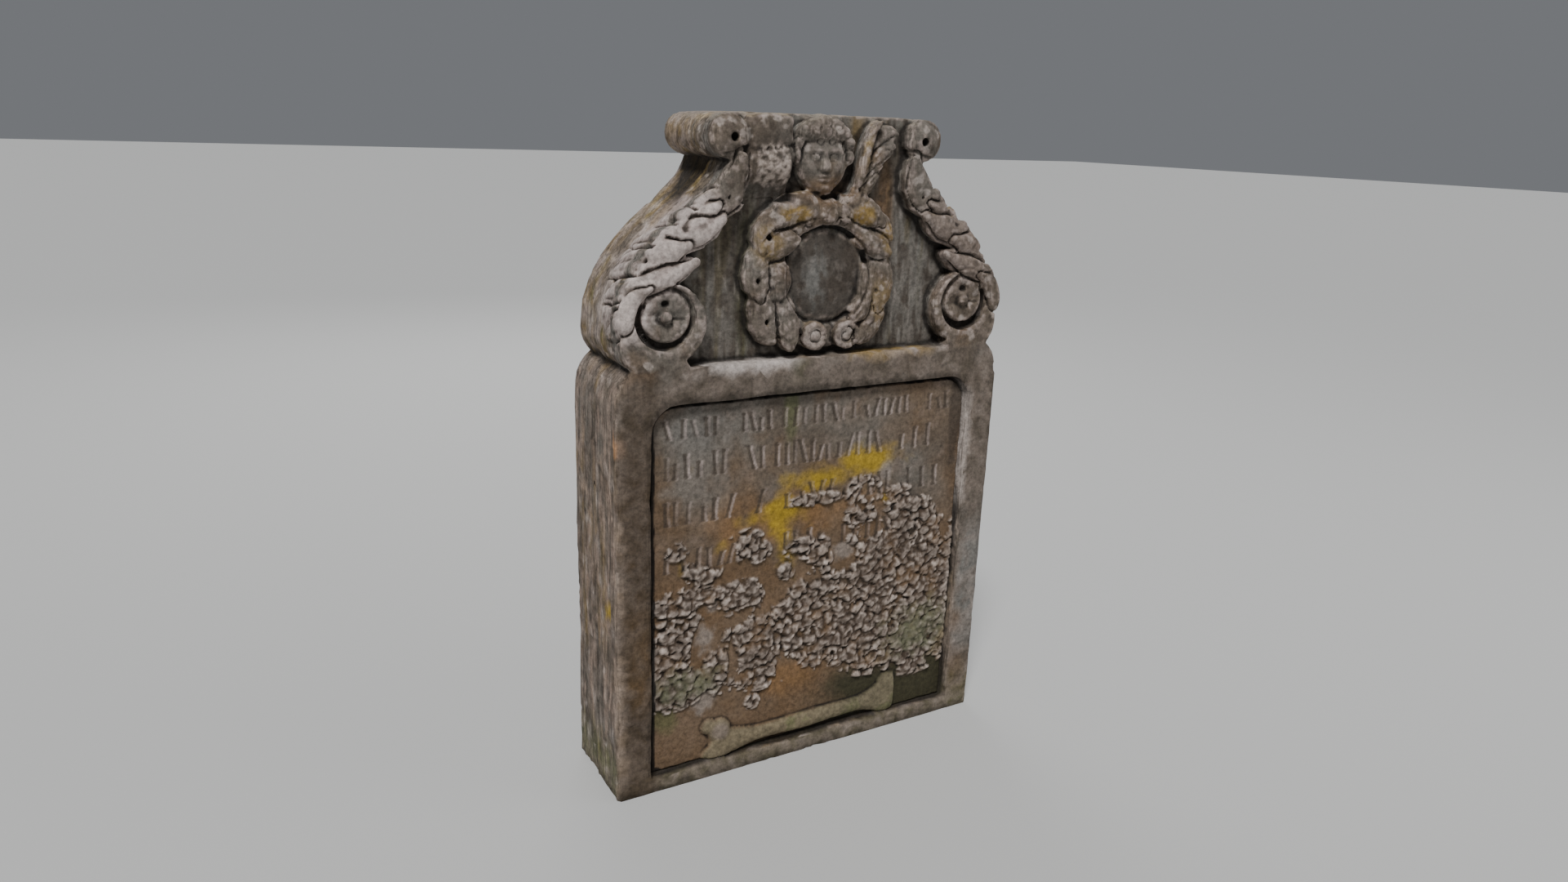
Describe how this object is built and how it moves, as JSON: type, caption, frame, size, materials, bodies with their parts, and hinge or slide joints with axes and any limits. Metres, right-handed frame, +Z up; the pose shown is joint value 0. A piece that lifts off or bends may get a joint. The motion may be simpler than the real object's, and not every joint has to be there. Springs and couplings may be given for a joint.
{
  "type": "gravestone",
  "caption": "Small carved sandstone headstone with a sunk inscription panel, scrolled crest, acanthus, wreath and cherub head, standing on its flat underside.",
  "frame": {"origin": "middle of the flat underside", "axes": "+Z up, the carved front faces -Y, +X to the right of someone who looks at the front"},
  "size_m": [0.62, 0.158, 0.939],
  "materials": {
    "sandstone": "weathered grey-brown sandstone, matt and gritty, with crusts of grey and yellow lichen and some moss"
  },
  "bodies": {
    "root": {"headstone": "sandstone"}
  },
  "joints": []
}
